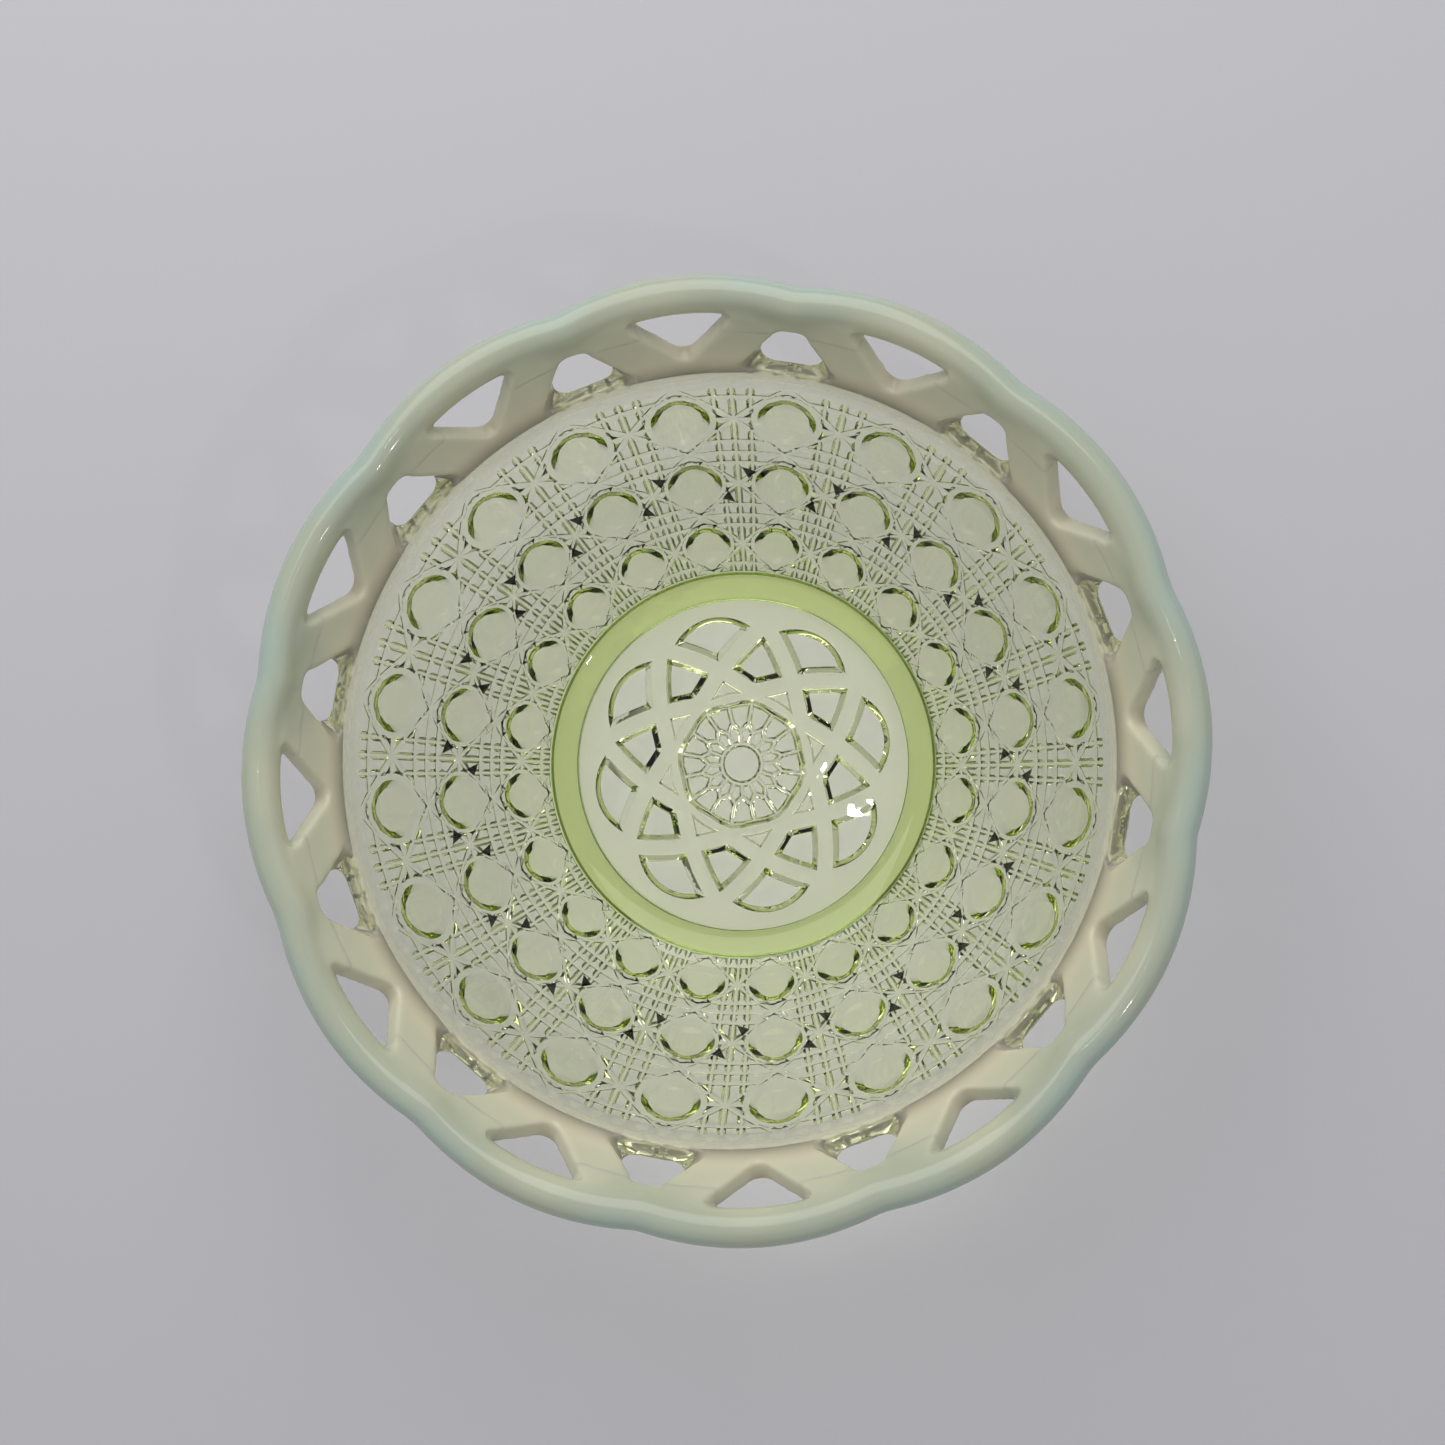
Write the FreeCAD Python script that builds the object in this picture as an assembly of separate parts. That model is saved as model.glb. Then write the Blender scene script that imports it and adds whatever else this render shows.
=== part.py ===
import FreeCAD, Part
import math
import os

os.makedirs("parts", exist_ok=True)

# Pressed glass dish, in millimetres, +Z up. The origin is the middle of the foot's resting plane.
# The dish is one casting. Each moulded zone of it is a node, and the zones meet face to face.

# Overall sizes
RIM_DIAMETER = 200.0          # crown to crown of the scallops
HEIGHT = 72.0                 # resting plane to the top of the rim

# Foot and floor
FOOT_DIAMETER = 93.4
FOOT_WIDTH = 7.6
FOOT_DEPTH = 3.0              # resting plane to the underside of the floor
FOOT_ROUND = 1.0
FLOOR_THICKNESS = 5.0

# Bowl wall
WALL_THICKNESS = 4.8
WALL_BELLY = 2.1              # rise of the outer curve over its chord
BUTTON_COLUMNS = 20
BUTTON_DIAMETERS = (10.7, 12.5, 12.8)   # lower, middle and upper rows
BUTTON_PROUD = 1.2
ROW_WEIGHTS = (17.3, 18.6, 20.1)        # how the three rows share the patterned wall
BEAD_PROUD = 0.5              # how far the row of beads stands out of the wall
BEAD_BAND_WIDTH = 4.9         # measured along the wall
COLLAR_HEIGHT = 3.6

# Open lattice and rim
SCALLOPS = 12
SCALLOP_RISE = 2.0            # crown radius less pinch radius
RIM_WIDTH = 7.8
RIM_DEPTH = 8.0
LATTICE_HEIGHT = 13.5         # collar top to the middle of the rim
LATTICE_FLARE = 9.0           # how far the rim's middle stands out from the collar's
LATTICE_THICKNESS = 4.6
SMALL_GAP_WIDTH = 15.0        # gap under each pinch, across its foot
SMALL_GAP_TIP = 6.0           # across its blunt top
SMALL_GAP_SINK = 1.2          # how far its foot dips into the collar, down the slope
SMALL_GAP_TOP = 11.4          # collar top to its top, up the slope
LARGE_GAP_WIDTH = 26.0        # gap under each crown, across its top inside the rim
LARGE_GAP_TIP = 4.0           # across its blunt foot
LARGE_GAP_HEIGHT = 9.3        # as far as it shows below the rim
GAP_ROUND = 1.6
SWEEP_SPARE = 1.2             # a scallop is swept this much too far, then cut at its pinches

# Medallion under the floor
STRAP_WIDTH = 3.4
MEDALLION_FOLD = 8
MEDALLION_RADIUS = 35.5
STRAP_RADII = (33.2, 22.5, 17.4)        # where straps cross, from outside inwards
ROSETTE_PETALS = 16
ROSETTE_RADII = (5.0, 14.4)
PETAL_SHARE = 0.72            # part of the pitch that a petal fills
MEDALLION_DEPTH = 1.5

AXIS = FreeCAD.Vector(0, 0, 1)
ORIGIN = FreeCAD.Vector(0, 0, 0)

FOOT_RADIUS = FOOT_DIAMETER / 2
FLOOR_RADIUS = FOOT_RADIUS - FOOT_WIDTH
FLOOR_TOP = FOOT_DEPTH + FLOOR_THICKNESS
CROWN_MIDDLE = RIM_DIAMETER / 2 - RIM_WIDTH / 2
PINCH_MIDDLE = CROWN_MIDDLE - SCALLOP_RISE
RIM_MIDDLE_Z = HEIGHT - RIM_DEPTH / 2
COLLAR_TOP = RIM_MIDDLE_Z - LATTICE_HEIGHT
COLLAR_BOTTOM = COLLAR_TOP - COLLAR_HEIGHT
LATTICE_FOOT = PINCH_MIDDLE - LATTICE_FLARE
HALF_CELL = math.pi / SCALLOPS

# Outer curve of the wall: an arc from the top of the foot to the bottom of the collar
LATTICE_SLANT = math.hypot(LATTICE_FLARE, LATTICE_HEIGHT)
FOOTPRINT = LATTICE_THICKNESS * LATTICE_SLANT / LATTICE_HEIGHT
CURVE_START = (FOOT_RADIUS, FOOT_DEPTH)
CURVE_END = (LATTICE_FOOT + FOOTPRINT / 2 - COLLAR_HEIGHT * LATTICE_FLARE / LATTICE_HEIGHT, COLLAR_BOTTOM)
CHORD = (CURVE_END[0] - CURVE_START[0], CURVE_END[1] - CURVE_START[1])
CHORD_LENGTH = math.hypot(*CHORD)
CURVE_RADIUS = (CHORD_LENGTH ** 2 / 4 + WALL_BELLY ** 2) / (2 * WALL_BELLY)
CURVE_CENTRE = (
    (CURVE_START[0] + CURVE_END[0]) / 2 - CHORD[1] / CHORD_LENGTH * (CURVE_RADIUS - WALL_BELLY),
    (CURVE_START[1] + CURVE_END[1]) / 2 + CHORD[0] / CHORD_LENGTH * (CURVE_RADIUS - WALL_BELLY),
)


def point(radius, z, azimuth=0.0):
    """A point at a radius, a height and an azimuth in radians."""
    return FreeCAD.Vector(radius * math.cos(azimuth), radius * math.sin(azimuth), z)


def turned(shape, azimuth):
    """A copy of a shape turned about the dish's axis, by radians."""
    copy = shape.copy()
    copy.rotate(ORIGIN, AXIS, math.degrees(azimuth))
    return copy


def wall_radius(z, depth=0.0):
    """Radius of the wall's outer curve at a height, or of the curve at a depth inside it."""
    reach = CURVE_RADIUS - depth
    return CURVE_CENTRE[0] + math.sqrt(reach ** 2 - (z - CURVE_CENTRE[1]) ** 2)


def curve_angle(corner):
    """Angle of a curve point about the wall curve's centre."""
    return math.atan2(corner[1] - CURVE_CENTRE[1], corner[0] - CURVE_CENTRE[0])


CURVE_LENGTH = CURVE_RADIUS * (curve_angle(CURVE_END) - curve_angle(CURVE_START))
PATTERN_LENGTH = CURVE_LENGTH - BEAD_BAND_WIDTH


def curve_point(length, proud=0.0):
    """Radius and height on the outer curve at a length along it, and its outward normal."""
    angle = curve_angle(CURVE_START) + length / CURVE_RADIUS
    normal = (math.cos(angle), math.sin(angle))
    reach = CURVE_RADIUS + proud
    return CURVE_CENTRE[0] + reach * normal[0], CURVE_CENTRE[1] + reach * normal[1], normal


def row_limits():
    """Lengths along the curve at which the three rows of buttons start and end."""
    limits = [0.0]
    for weight in ROW_WEIGHTS:
        limits.append(limits[-1] + PATTERN_LENGTH * weight / sum(ROW_WEIGHTS))
    return limits


def face_of(edges):
    """A flat face from edges that join end to end."""
    return Part.Face(Part.Wire(edges))


def revolved(edges):
    """A solid of revolution from a closed outline in the XZ plane."""
    return face_of(edges).revolve(ORIGIN, AXIS, 360)


def segments(corners):
    """Straight edges that join points in order and close the outline."""
    ring = list(corners) + [corners[0]]
    return [Part.LineSegment(a, b).toShape() for a, b in zip(ring, ring[1:])]


def wall_arc(z_low, z_high, depth=0.0):
    """The part of a wall curve between two heights, as an edge."""
    z_middle = (z_low + z_high) / 2
    ends = [point(wall_radius(z, depth), z) for z in (z_low, z_middle, z_high)]
    return Part.Arc(*ends).toShape()


def wall_band(z_low, z_high, outer=None):
    """A ring of the wall between two heights, with its plain outer curve or another edge."""
    outer = outer or wall_arc(z_low, z_high)
    inner = wall_arc(z_low, z_high, WALL_THICKNESS)
    floor_edge = Part.LineSegment(point(wall_radius(z_low, WALL_THICKNESS), z_low),
                                  point(wall_radius(z_low), z_low)).toShape()
    top_edge = Part.LineSegment(point(wall_radius(z_high), z_high),
                                point(wall_radius(z_high, WALL_THICKNESS), z_high)).toShape()
    return revolved(Part.__sortEdges__([floor_edge, outer, top_edge, inner]))


def heel():
    """The corner between floor and wall, from the foot's top up to the floor's top."""
    outline = [Part.LineSegment(point(FLOOR_RADIUS, FLOOR_TOP), point(FLOOR_RADIUS, FOOT_DEPTH)).toShape(),
               Part.LineSegment(point(FLOOR_RADIUS, FOOT_DEPTH), point(FOOT_RADIUS, FOOT_DEPTH)).toShape(),
               wall_arc(FOOT_DEPTH, FLOOR_TOP),
               Part.LineSegment(point(wall_radius(FLOOR_TOP), FLOOR_TOP),
                                point(FLOOR_RADIUS, FLOOR_TOP)).toShape()]
    return revolved(outline)


def buttons(row):
    """The raised round buttons of one row, rooted by half of what they stand proud."""
    limits = row_limits()
    middle = (limits[row] + limits[row + 1]) / 2
    root = BUTTON_PROUD / 2
    radius, z, normal = curve_point(middle, -root)
    button = Part.makeCylinder(BUTTON_DIAMETERS[row] / 2, root + BUTTON_PROUD, point(radius, z),
                               FreeCAD.Vector(normal[0], 0, normal[1]))
    pitch = 2 * math.pi / BUTTON_COLUMNS
    return [turned(button, column * pitch) for column in range(BUTTON_COLUMNS)]


def wall_row(row):
    """One row of the wall with its buttons. The lowest row also holds the heel."""
    limits = row_limits()
    z_low = curve_point(limits[row])[1]
    z_high = curve_point(limits[row + 1])[1]
    if row == 0:
        band = heel().fuse(wall_band(FLOOR_TOP, z_high)).removeSplitter()
    else:
        band = wall_band(z_low, z_high)
    return band.multiFuse(buttons(row))


def foot_ring():
    """The ring that the dish stands on."""
    ring = Part.makeCylinder(FOOT_RADIUS, FOOT_DEPTH).cut(Part.makeCylinder(FLOOR_RADIUS, FOOT_DEPTH))
    resting = [edge for edge in ring.Edges
               if len(edge.Vertexes) == 1 and abs(edge.Vertexes[0].Z) < FOOT_ROUND / 2
               and abs(edge.BoundBox.ZLength) < FOOT_ROUND / 2]
    return ring.makeFillet(FOOT_ROUND, resting)


def pocket(outline):
    """A recess in the floor's underside from a closed list of edges, kept clear of the straps."""
    panel = face_of(outline).makeOffset2D(-STRAP_WIDTH / 2)
    return panel.extrude(FreeCAD.Vector(0, 0, MEDALLION_DEPTH))


def strap_point(crossing, azimuth):
    """Where two straps cross, on the floor's underside."""
    return point(STRAP_RADII[crossing], FOOT_DEPTH, azimuth)


def medallion_pockets():
    """Kites, half lenses and small triangles between the straps, and the rosette's petals."""
    half = math.pi / MEDALLION_FOLD
    kite = pocket(segments([strap_point(0, 0), strap_point(1, half), strap_point(2, 0),
                            strap_point(1, -half)]))
    edge = MEDALLION_RADIUS + STRAP_WIDTH / 2
    lens_arc = Part.Arc(strap_point(0, -half), point(edge, FOOT_DEPTH), strap_point(0, half)).toShape()
    lens = pocket([Part.LineSegment(strap_point(1, 0), strap_point(0, -half)).toShape(), lens_arc,
                   Part.LineSegment(strap_point(0, half), strap_point(1, 0)).toShape()])
    small = pocket(segments([strap_point(1, 0), strap_point(2, half), strap_point(2, -half)]))
    cuts = []
    for turn in range(MEDALLION_FOLD):
        cuts.append(turned(kite, 2 * turn * half))
        cuts.append(turned(lens, (2 * turn + 1) * half))
        cuts.append(turned(small, (2 * turn + 1) * half))
    petal_half = math.pi / ROSETTE_PETALS * PETAL_SHARE
    inner, outer = ROSETTE_RADII
    petal = face_of(segments([point(inner, FOOT_DEPTH), point(outer, FOOT_DEPTH, -petal_half),
                              point(outer, FOOT_DEPTH, petal_half)]))
    petal = petal.extrude(FreeCAD.Vector(0, 0, MEDALLION_DEPTH))
    for turn in range(ROSETTE_PETALS):
        cuts.append(turned(petal, (turn + 0.5) * 2 * math.pi / ROSETTE_PETALS))
    return Part.makeCompound(cuts)


def base_floor():
    """The flat floor, with the medallion pressed into its underside."""
    disc = Part.makeCylinder(FLOOR_RADIUS, FLOOR_THICKNESS, point(0, FOOT_DEPTH))
    return disc.cut(medallion_pockets())


def bead_band():
    """A ring of the wall whose outside swells to the crowns of the beads."""
    z_low = curve_point(PATTERN_LENGTH)[1]
    crown_radius, crown_z, _ = curve_point((PATTERN_LENGTH + CURVE_LENGTH) / 2, BEAD_PROUD)
    swell = Part.Arc(point(wall_radius(z_low), z_low), point(crown_radius, crown_z),
                     point(wall_radius(COLLAR_BOTTOM), COLLAR_BOTTOM)).toShape()
    return wall_band(z_low, COLLAR_BOTTOM, swell)


def collar():
    """The plain ring that carries the lattice. The small gaps dip into its top."""
    low = [point(wall_radius(COLLAR_BOTTOM, depth), COLLAR_BOTTOM) for depth in (WALL_THICKNESS, 0.0)]
    high = [point(LATTICE_FOOT + side * FOOTPRINT / 2, COLLAR_TOP) for side in (1, -1)]
    dip = small_gap()
    return revolved(segments(low + high)).cut([turned(dip, 2 * turn * HALF_CELL) for turn in range(SCALLOPS)])


def sector(azimuth_low, azimuth_high):
    """A tall wedge between two azimuths, wider than the dish."""
    reach = RIM_DIAMETER
    wedge = face_of(segments([ORIGIN, point(reach, 0, azimuth_low), point(reach, 0, azimuth_high)]))
    return wedge.extrude(FreeCAD.Vector(0, 0, 2 * HEIGHT))


def scallop():
    """One scallop of the rim, from pinch to pinch, with its crown half a cell round from +X."""
    pinch_x = PINCH_MIDDLE * math.cos(HALF_CELL)
    pinch_y = PINCH_MIDDLE * math.sin(HALF_CELL)
    arc_centre = (CROWN_MIDDLE ** 2 - pinch_x ** 2 - pinch_y ** 2) / (2 * (CROWN_MIDDLE - pinch_x))
    half_sweep = SWEEP_SPARE * math.atan2(pinch_y, pinch_x - arc_centre)
    section = Part.Ellipse(ORIGIN, max(RIM_WIDTH, RIM_DEPTH) / 2, min(RIM_WIDTH, RIM_DEPTH) / 2).toShape()
    if RIM_DEPTH > RIM_WIDTH:
        section.rotate(ORIGIN, AXIS, 90)
    section.rotate(ORIGIN, FreeCAD.Vector(1, 0, 0), 90)
    section.translate(point(CROWN_MIDDLE, RIM_MIDDLE_Z))
    face = Part.Face(Part.Wire([section]))
    pivot = point(arc_centre, 0)
    face.rotate(pivot, AXIS, -math.degrees(half_sweep))
    hoop = face.revolve(pivot, AXIS, 2 * math.degrees(half_sweep))
    return turned(hoop.common(sector(-HALF_CELL, HALF_CELL)), HALF_CELL)


def rim_hoop():
    """The scalloped rim, pinched at every lattice node."""
    piece = scallop()
    pieces = [turned(piece, 2 * turn * HALF_CELL) for turn in range(SCALLOPS)]
    return pieces[0].multiFuse(pieces[1:]).removeSplitter()


def lattice_shell():
    """The flaring wall that the gaps are cut from, from the collar's top into the rim."""
    slope = LATTICE_FLARE / LATTICE_HEIGHT
    rows = [(COLLAR_TOP, LATTICE_FOOT), (RIM_MIDDLE_Z, LATTICE_FOOT + slope * LATTICE_HEIGHT)]
    corners = []
    for side, order in ((1, rows), (-1, rows[::-1])):
        for z, middle in order:
            corners.append(point(middle + side * FOOTPRINT / 2, z))
    return revolved(segments(corners))


def gap(azimuth, foot_width, top_width, low, high):
    """A rounded gap through the lattice, square to its slope, between two lengths up the slope."""
    corners = []
    for along, half in ((low, foot_width / 2), (low, -foot_width / 2), (high, -top_width / 2),
                        (high, top_width / 2)):
        corners.append(FreeCAD.Vector(half, along, 0))
    outline = Part.Wire(segments(corners)).makeOffset2D(-GAP_ROUND)
    outline = Part.Face(outline).makeOffset2D(GAP_ROUND)
    block = outline.extrude(FreeCAD.Vector(0, 0, 4 * LATTICE_THICKNESS))
    block.translate(FreeCAD.Vector(0, 0, -2 * LATTICE_THICKNESS))
    up = FreeCAD.Vector(LATTICE_FLARE, 0, LATTICE_HEIGHT).normalize()
    side = FreeCAD.Vector(0, -1, 0)
    out = side.cross(up)
    place = FreeCAD.Matrix(side.x, up.x, out.x, LATTICE_FOOT, side.y, up.y, out.y, 0,
                           side.z, up.z, out.z, COLLAR_TOP, 0, 0, 0, 1)
    return turned(block.transformGeometry(place), azimuth)


def small_gap():
    """The gap under the pinch at +X."""
    return gap(0, SMALL_GAP_WIDTH, SMALL_GAP_TIP, -SMALL_GAP_SINK, SMALL_GAP_TOP)


def lattice_bars(rim):
    """The slanted bars, two to a pinch, that join the collar and the rim."""
    large_foot = LATTICE_SLANT - RIM_DEPTH / 2 - LARGE_GAP_HEIGHT
    large = gap(HALF_CELL, LARGE_GAP_TIP, LARGE_GAP_WIDTH, large_foot, LATTICE_SLANT)
    bar = lattice_shell().common(sector(0, HALF_CELL)).cut(small_gap()).cut(large).cut(rim)
    mirrored = bar.mirror(ORIGIN, FreeCAD.Vector(0, 1, 0))
    bars = []
    for turn in range(SCALLOPS):
        bars.append(turned(bar, 2 * turn * HALF_CELL))
        bars.append(turned(mirrored, 2 * turn * HALF_CELL))
    return Part.makeCompound([solid for one in bars for solid in one.Solids])


def export(node, shape):
    """Write one node and say what it holds."""
    solids = shape.Solids
    state = all(solid.isValid() and solid.isClosed() for solid in solids)
    print(node, "solids", len(solids), "valid", state, "volume", round(shape.Volume, 1))
    shape.exportStep("parts/" + node + ".step")


def main():
    rim = rim_hoop()
    export("foot_ring", foot_ring())
    export("base_floor", base_floor())
    export("wall_lower", wall_row(0))
    export("wall_middle", wall_row(1))
    export("wall_upper", wall_row(2))
    export("bead_band", bead_band())
    export("collar", collar())
    export("lattice_bars", lattice_bars(rim))
    export("rim_hoop", rim)


main()
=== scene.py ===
import math

import bmesh
import bpy
from mathutils import Matrix, Vector


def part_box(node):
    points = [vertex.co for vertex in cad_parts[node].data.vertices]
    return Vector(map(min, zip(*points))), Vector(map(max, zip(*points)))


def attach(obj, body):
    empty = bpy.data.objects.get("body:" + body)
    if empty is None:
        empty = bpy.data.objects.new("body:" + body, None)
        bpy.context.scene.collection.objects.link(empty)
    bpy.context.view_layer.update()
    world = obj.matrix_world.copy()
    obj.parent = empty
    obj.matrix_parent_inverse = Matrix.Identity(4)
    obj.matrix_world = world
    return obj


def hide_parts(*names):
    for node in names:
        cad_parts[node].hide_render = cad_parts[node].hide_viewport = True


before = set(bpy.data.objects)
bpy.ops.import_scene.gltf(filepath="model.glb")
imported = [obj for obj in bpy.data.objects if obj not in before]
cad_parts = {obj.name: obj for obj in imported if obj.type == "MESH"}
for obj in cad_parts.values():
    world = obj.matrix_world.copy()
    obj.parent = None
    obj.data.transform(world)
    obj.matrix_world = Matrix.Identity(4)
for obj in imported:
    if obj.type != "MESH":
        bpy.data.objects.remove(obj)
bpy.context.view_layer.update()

MM = 0.001
TURN = 2 * math.pi

# Places that come from the frame, in metres
FLOOR_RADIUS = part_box("base_floor")[1][0]
FOOT_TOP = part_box("base_floor")[0][2]
FLOOR_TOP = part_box("base_floor")[1][2]
ROW_NODES = ("wall_lower", "wall_middle", "wall_upper")
ROW_TOPS = [(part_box(node)[1][0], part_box(node)[1][2]) for node in ROW_NODES]
COLLAR_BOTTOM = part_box("collar")[0][2]
COLLAR_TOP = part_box("collar")[1][2]
RIM_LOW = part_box("rim_hoop")[0][2]
RIM_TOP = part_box("rim_hoop")[1][2]
RIM_MIDDLE_Z = (RIM_LOW + RIM_TOP) / 2

# Sizes of the casting
FOOT_RADIUS = 93.4 * MM / 2
WALL = 4.8 * MM
CROWN_RADIUS = 100 * MM
SCALLOP_RISE = 2.0 * MM
RIM_WIDTH = 7.8 * MM
RIM_DEPTH = RIM_TOP - RIM_LOW
SCALLOPS = 12
COLUMNS = 20
BEADS = 100
LATTICE_FLARE = 9.0 * MM
LATTICE_THICKNESS = 4.6 * MM
JOINT_GAP = 0.01 * MM           # how far each of two neighbours is drawn back where they meet


def circle_through(a, b, c):
    """Centre and radius of the circle through three (radius, height) points."""
    (ax, ay), (bx, by), (cx, cy) = a, b, c
    d = 2 * (ax * (by - cy) + bx * (cy - ay) + cx * (ay - by))
    a2, b2, c2 = ax * ax + ay * ay, bx * bx + by * by, cx * cx + cy * cy
    x = (a2 * (by - cy) + b2 * (cy - ay) + c2 * (ay - by)) / d
    y = (a2 * (cx - bx) + b2 * (ax - cx) + c2 * (bx - ax)) / d
    return (x, y), math.hypot(ax - x, ay - y)


CURVE_CENTRE, CURVE_RADIUS = circle_through((FOOT_RADIUS, FOOT_TOP), ROW_TOPS[1], ROW_TOPS[2])


def curve_length(radius, z):
    """Length along the wall's outer curve, from the foot, of a point on it."""
    start = math.atan2(FOOT_TOP - CURVE_CENTRE[1], FOOT_RADIUS - CURVE_CENTRE[0])
    return CURVE_RADIUS * (math.atan2(z - CURVE_CENTRE[1], radius - CURVE_CENTRE[0]) - start)


def curve_point(length, proud=0.0):
    """Radius and height at a length along the outer curve and a distance proud of it."""
    start = math.atan2(FOOT_TOP - CURVE_CENTRE[1], FOOT_RADIUS - CURVE_CENTRE[0])
    angle = start + length / CURVE_RADIUS
    reach = CURVE_RADIUS + proud
    return CURVE_CENTRE[0] + reach * math.cos(angle), CURVE_CENTRE[1] + reach * math.sin(angle)


def curve_radius_at(z):
    """Radius of the outer curve at a height."""
    return CURVE_CENTRE[0] + math.sqrt(CURVE_RADIUS ** 2 - (z - CURVE_CENTRE[1]) ** 2)


def inner_radius_at(z):
    """Radius of the smooth inner wall at a height."""
    return CURVE_CENTRE[0] + math.sqrt((CURVE_RADIUS - WALL) ** 2 - (z - CURVE_CENTRE[1]) ** 2)


ROW_LIMITS = [0.0] + [curve_length(radius, z) for radius, z in ROW_TOPS]
BAND_TOP_LENGTH = curve_length(curve_radius_at(COLLAR_BOTTOM), COLLAR_BOTTOM)


def polar(radius, azimuth, z):
    """A point from its radius, azimuth and height."""
    return Vector((radius * math.cos(azimuth), radius * math.sin(azimuth), z))


# ---------------------------------------------------------------- materials

def shader_nodes(name):
    """A new material with its principled shader and its output, and nothing else."""
    material = bpy.data.materials.new(name)
    material.use_nodes = True
    nodes = material.node_tree.nodes
    shader = nodes["Principled BSDF"]
    return material, nodes, material.node_tree.links, shader, nodes["Material Output"]


CLEAR_IOR = 1.5
JOINT_IOR = 1.0001
CLEAR_TINT = (0.82, 0.92, 0.12, 1)
CLEAR_DENSITY = 50.0
FOOT_TINT = (0.66, 0.78, 0.12, 1)
FOOT_DENSITY = 230.0
PEBBLE_SCALE = 90.0
PEBBLE_DEPTH = 0.06 * MM


def add_tint(nodes, links, output, colour=CLEAR_TINT, density=CLEAR_DENSITY):
    """The yellow-green that the glass takes on with depth."""
    tint = nodes.new("ShaderNodeVolumeAbsorption")
    tint.inputs["Color"].default_value = colour
    tint.inputs["Density"].default_value = density
    links.new(tint.outputs["Volume"], output.inputs["Volume"])


def add_pebble(nodes, links, shader):
    """Fire-polished unevenness: a very soft bump."""
    coords = nodes.new("ShaderNodeTexCoord")
    noise = nodes.new("ShaderNodeTexNoise")
    noise.inputs["Scale"].default_value = PEBBLE_SCALE
    noise.inputs["Detail"].default_value = 2.0
    bump = nodes.new("ShaderNodeBump")
    bump.inputs["Strength"].default_value = 1.0
    bump.inputs["Distance"].default_value = PEBBLE_DEPTH
    links.new(coords.outputs["Object"], noise.inputs["Vector"])
    links.new(noise.outputs["Fac"], bump.inputs["Height"])
    links.new(bump.outputs["Normal"], shader.inputs["Normal"])


def set_clear(nodes, links, shader):
    """Clear glass. Faces marked as joints do not bend light, as the casting is whole there."""
    shader.inputs["Base Color"].default_value = (1, 1, 1, 1)
    shader.inputs["Roughness"].default_value = 0.0
    shader.inputs["Transmission Weight"].default_value = 1.0
    shader.inputs["IOR"].default_value = CLEAR_IOR
    joint = nodes.new("ShaderNodeAttribute")
    joint.attribute_name = "joint"
    bend = nodes.new("ShaderNodeMapRange")
    bend.inputs["To Min"].default_value = CLEAR_IOR
    bend.inputs["To Max"].default_value = JOINT_IOR
    links.new(joint.outputs["Fac"], bend.inputs["Value"])
    links.new(bend.outputs["Result"], shader.inputs["IOR"])


def make_clear(name, **tint):
    """Clear glass with its own tint, if one is given."""
    material, nodes, links, shader, output = shader_nodes(name)
    set_clear(nodes, links, shader)
    add_pebble(nodes, links, shader)
    add_tint(nodes, links, output, **tint)
    return material


def calc(nodes, links, operation, first, second=None):
    """A maths node fed by sockets or plain numbers."""
    node = nodes.new("ShaderNodeMath")
    node.operation = operation
    for socket, value in zip(node.inputs, (first, second)):
        if isinstance(value, (int, float)):
            socket.default_value = value
        elif value is not None:
            links.new(value, socket)
    return node.outputs["Value"]


def graded(nodes, links, value, low, high):
    """A soft 0 to 1 as a value goes from low to high."""
    node = nodes.new("ShaderNodeMapRange")
    node.interpolation_type = "SMOOTHSTEP"
    node.inputs["From Min"].default_value = low
    node.inputs["From Max"].default_value = high
    links.new(value, node.inputs["Value"])
    return node.outputs["Result"]


def blended(nodes, links, factor, first, second):
    """A mix of two colours, each a socket or a plain colour."""
    node = nodes.new("ShaderNodeMix")
    node.data_type = "RGBA"
    links.new(factor, node.inputs["Factor"])
    for socket, value in ((node.inputs["A"], first), (node.inputs["B"], second)):
        if isinstance(value, tuple):
            socket.default_value = value
        else:
            links.new(value, socket)
    return node.outputs["Result"]


SAGE = (0.54, 0.585, 0.45, 1)
BLUE_GREEN = (0.49, 0.60, 0.52, 1)
CREAM = (0.72, 0.72, 0.54, 1)
PEACH = (0.82, 0.76, 0.57, 1)
CREAM_TO_SAGE = (88.0 * MM, 95.0 * MM)          # radii between which one colour turns into the next
SAGE_TO_BLUE = (94.5 * MM, 100.5 * MM)
PEACH_TO_CREAM = (COLLAR_TOP + 1.0 * MM, COLLAR_TOP + 9.0 * MM)           # heights
# From clear to opal by height. Its lower part reaches into the clear collar, where the milkiness is painted
# sheen in place of the collar's reflections; above the collar the bars really turn opal.
CLEAR_TO_OPAL_AND_COLLAR_SHEEN = (COLLAR_BOTTOM - 0.5 * MM, COLLAR_TOP + 4.6 * MM)
CLOUD_SCALE = 40.0
CLOUD_REACH = 10.0 * MM
PINCH_REACH = 2.2 * MM


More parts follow.
